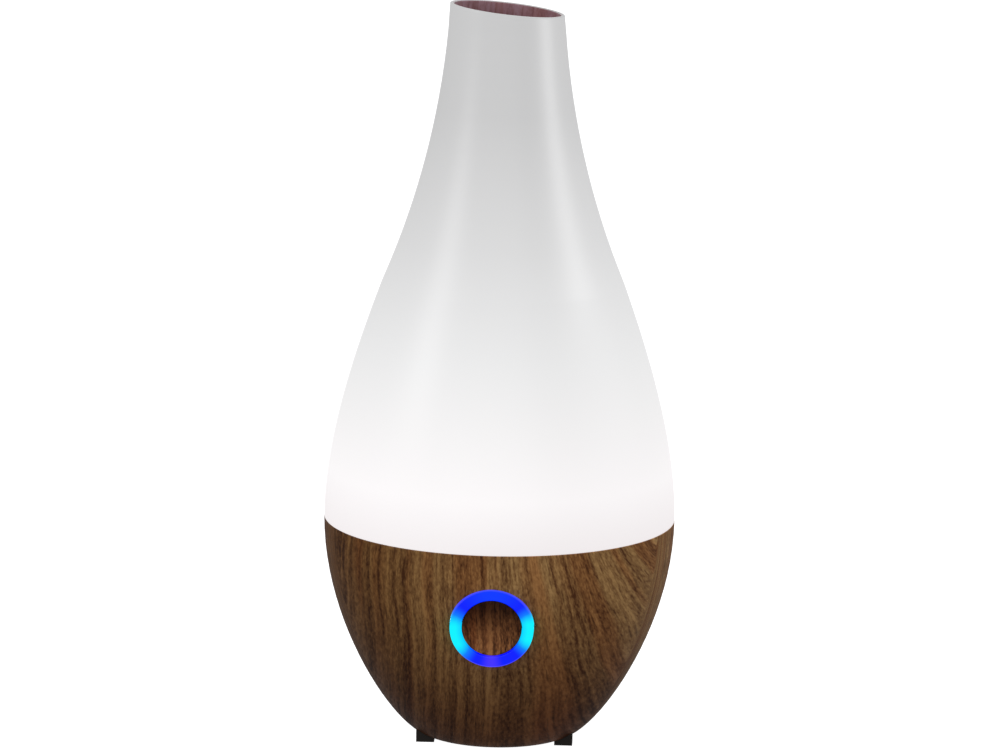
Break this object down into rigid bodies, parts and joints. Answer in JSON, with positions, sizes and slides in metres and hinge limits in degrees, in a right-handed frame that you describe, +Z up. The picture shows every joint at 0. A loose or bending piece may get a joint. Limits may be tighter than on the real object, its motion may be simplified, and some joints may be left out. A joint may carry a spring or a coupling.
{
  "type": "cool mist humidifier",
  "caption": "Teardrop ultrasonic humidifier: a lift-off white tank with a slanted mouth and wood-print nozzle, on a round walnut-print base with a lit ring button.",
  "frame": {"origin": "on the table under the middle of the body, at the level of the feet's undersides", "axes": "+Z up along the body's axis; the control button faces -Y; the mouth slants down towards +X"},
  "size_m": [0.175, 0.175, 0.3681],
  "materials": {
    "walnut_print": "satin walnut wood-grain print on moulded plastic",
    "button_print": "satin walnut wood-grain print on the button cap",
    "nozzle_print": "satin wood-grain print, mauve-brown",
    "tank_white": "frosted translucent white, satin",
    "inner_white": "moulded white plastic",
    "black_plastic": "moulded black plastic",
    "cover_plastic": "fine-textured dark plastic",
    "foot_rubber": "matt rubber",
    "seal_silicone": "moulded silicone",
    "filter_foam": "open-cell foam",
    "screw_steel": "zinc-plated steel",
    "retainer_aluminium": "turned aluminium",
    "disc_ceramic": "nickel-faced ceramic disc",
    "board_green": "green solder mask",
    "sink_aluminium": "extruded aluminium",
    "capacitor_sleeve": "shrink sleeve",
    "coil_copper": "enamelled copper wire",
    "header_ivory": "moulded nylon",
    "wire_red": "insulated lead",
    "bearing_brass": "sintered bronze",
    "magnet_dark": "ferrite",
    "lens_clear": "clear polycarbonate",
    "led_yellow": "lamp chip",
    "ring_light": "translucent light guide, lit blue to cyan",
    "cap_blue": "moulded tinted plastic",
    "spring_steel": "stainless spring wire"
  },
  "bodies": {
    "base": {"wood_bowl": "walnut_print", "bottom_cover": "cover_plastic", "cover_screws": "screw_steel", "feet": "foot_rubber", "intake_filter": "filter_foam", "deck": "inner_white", "basin_wall": "inner_white", "basin_floor": "inner_white", "transducer_well": "inner_white", "air_chimney": "inner_white", "basin_posts": "inner_white", "board_posts": "inner_white", "locating_ring": "inner_white", "deck_screws": "screw_steel", "transducer_disc": "disc_ceramic", "transducer_gasket": "seal_silicone", "transducer_retainer": "retainer_aluminium", "transducer_screws": "screw_steel", "driver_board": "board_green", "heat_sink": "sink_aluminium", "capacitors": "capacitor_sleeve", "inductor": "coil_copper", "plug_headers": "header_ivory", "board_screws": "screw_steel", "wiring": "wire_red", "fan_frame": "black_plastic", "fan_stator": "coil_copper", "fan_bearing": "bearing_brass", "air_duct": "inner_white", "float_clip": "inner_white", "light_lens": "lens_clear", "light_board": "board_green", "light_leds": "led_yellow", "light_ring": "ring_light", "button_housing": "inner_white", "ring_board": "board_green", "ring_leds": "led_yellow", "button_switch": "black_plastic", "power_jack": "black_plastic", "jack_pin": "screw_steel", "jack_nut": "screw_steel"},
    "fan": {"fan_rotor": "black_plastic", "fan_shaft": "screw_steel"},
    "float": {"float_ring": "inner_white", "float_magnet": "magnet_dark"},
    "button": {"button_cap": "button_print", "switch_plunger": "header_ivory"},
    "tank": {"tank_shell": "tank_white", "tank_floor": "inner_white", "filling_neck": "inner_white", "tank_roof": "inner_white", "mist_tube": "inner_white"},
    "nozzle": {"mist_nozzle": "nozzle_print"},
    "cap": {"fill_cap": "cap_blue", "cap_gasket": "seal_silicone", "valve_spring": "spring_steel"},
    "valve": {"valve_plunger": "inner_white", "valve_seal": "seal_silicone"}
  },
  "joints": [
    {"name": "tank_lift", "type": "slide", "parent": "base", "child": "tank", "axis": [0, 0, 1], "range_m": [0, 0.12]},
    {"name": "nozzle_lift", "type": "slide", "parent": "tank", "child": "nozzle", "axis": [0, 0, 1], "range_m": [0, 0.035]},
    {"name": "cap_turn", "type": "hinge", "parent": "tank", "child": "cap", "pos_m": [0.046, 0, 0.108], "axis": [0, 0, 1], "range_deg": [0, 60]},
    {"name": "valve_close", "type": "slide", "parent": "cap", "child": "valve", "axis": [0, 0, 1], "range_m": [-0.0035, 0], "deforming": ["valve_spring"]},
    {"name": "fan_spin", "type": "hinge", "parent": "base", "child": "fan", "pos_m": [-0.042, 0, 0.075], "axis": [0, 0, 1], "continuous": true},
    {"name": "float_rise", "type": "slide", "parent": "base", "child": "float", "axis": [0, 0, 1], "range_m": [0, 0.008]},
    {"name": "button_press", "type": "slide", "parent": "base", "child": "button", "axis": [0, 0.9848, 0.1736], "range_m": [0, 0.0008], "stiffness_N_per_m": 1500}
  ],
  "couplings": [
    {"joint": "valve_close", "follows": "tank_lift", "ratio": -0.029167}
  ]
}
